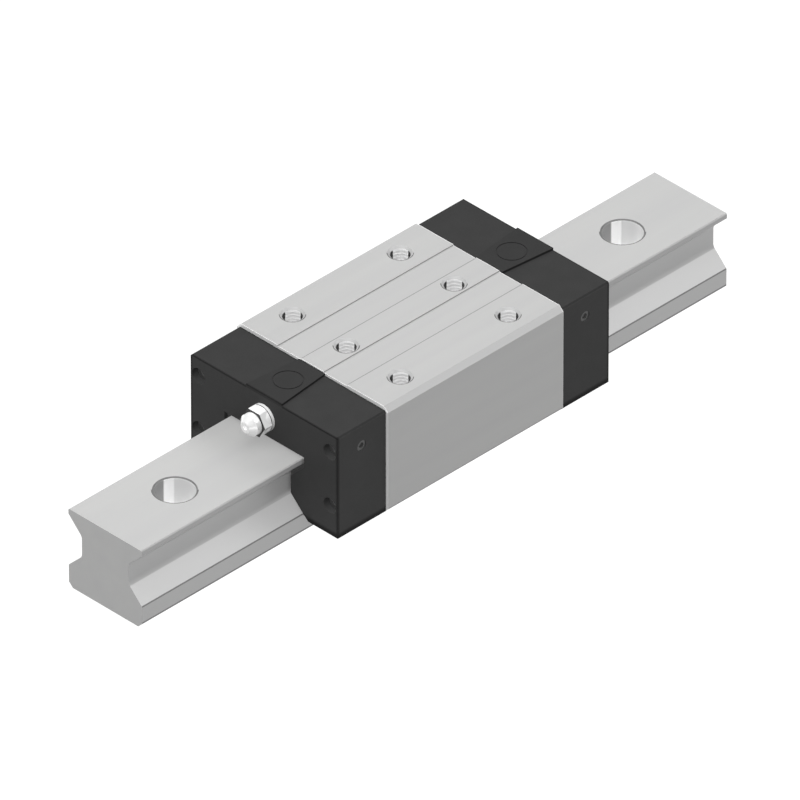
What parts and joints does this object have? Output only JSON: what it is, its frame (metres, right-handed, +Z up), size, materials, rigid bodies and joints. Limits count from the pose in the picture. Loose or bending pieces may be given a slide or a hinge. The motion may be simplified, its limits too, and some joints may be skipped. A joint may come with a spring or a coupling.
{
  "type": "roller linear guide",
  "caption": "Profiled steel rail with a recirculating-roller carriage: steel body, black plastic end caps and a grease nipple; the carriage slides along the rail.",
  "frame": {"origin": "centre of the rail's length and width on its underside, with the carriage at the middle of its travel", "axes": "+X along the rail towards the carriage's rear end, +Y across the rail to the left, +Z up out of the carriage's mounting face"},
  "size_m": [0.272, 0.07, 0.0492],
  "materials": {
    "rail_steel": "ground steel, satin",
    "block_steel": "ground steel, satin",
    "bearing_steel": "polished bearing steel",
    "white_plastic": "natural plastic",
    "guide_plastic": "moulded plastic",
    "cap_plastic": "black moulded plastic, fine grain",
    "seal_rubber": "black nitrile rubber",
    "sheet_steel": "rolled sheet",
    "zinc_steel": "bright zinc plate",
    "nipple_steel": "bright nickel plate"
  },
  "bodies": {
    "rail": {"rail": "rail_steel"},
    "carriage": {"carriage_block": "block_steel", "left_upper_rollers": "bearing_steel", "left_upper_return_tube": "white_plastic", "left_lower_rollers": "bearing_steel", "left_lower_return_tube": "white_plastic", "left_upper_retainer": "guide_plastic", "left_middle_retainer": "guide_plastic", "left_lower_retainer": "guide_plastic", "left_bottom_seal": "seal_rubber", "right_upper_rollers": "bearing_steel", "right_upper_return_tube": "white_plastic", "right_lower_rollers": "bearing_steel", "right_lower_return_tube": "white_plastic", "right_upper_retainer": "guide_plastic", "right_middle_retainer": "guide_plastic", "right_lower_retainer": "guide_plastic", "right_bottom_seal": "seal_rubber", "front_end_cap": "cap_plastic", "front_turnaround_plate": "guide_plastic", "front_left_inner_guide": "guide_plastic", "front_right_inner_guide": "guide_plastic", "front_seal_lip": "seal_rubber", "front_seal_backing": "sheet_steel", "front_cap_screws": "zinc_steel", "front_side_plugs": "zinc_steel", "rear_end_cap": "cap_plastic", "rear_turnaround_plate": "guide_plastic", "rear_left_inner_guide": "guide_plastic", "rear_right_inner_guide": "guide_plastic", "rear_seal_lip": "seal_rubber", "rear_seal_backing": "sheet_steel", "rear_cap_screws": "zinc_steel", "rear_side_plugs": "zinc_steel", "rear_port_plug": "zinc_steel", "grease_nipple": "nipple_steel", "nipple_spring": "bearing_steel"},
    "nipple_valve": {"nipple_ball": "bearing_steel"}
  },
  "joints": [
    {"name": "carriage_slide", "type": "slide", "parent": "rail", "child": "carriage", "axis": [1, 0, 0], "range_m": [-0.072, 0.072]},
    {"name": "nipple_valve_slide", "type": "slide", "parent": "carriage", "child": "nipple_valve", "axis": [1, 0, 0], "range_m": [0, 0.0008], "stiffness_N_per_m": 50, "springref_m": -0.002, "deforming": ["nipple_spring"]}
  ]
}
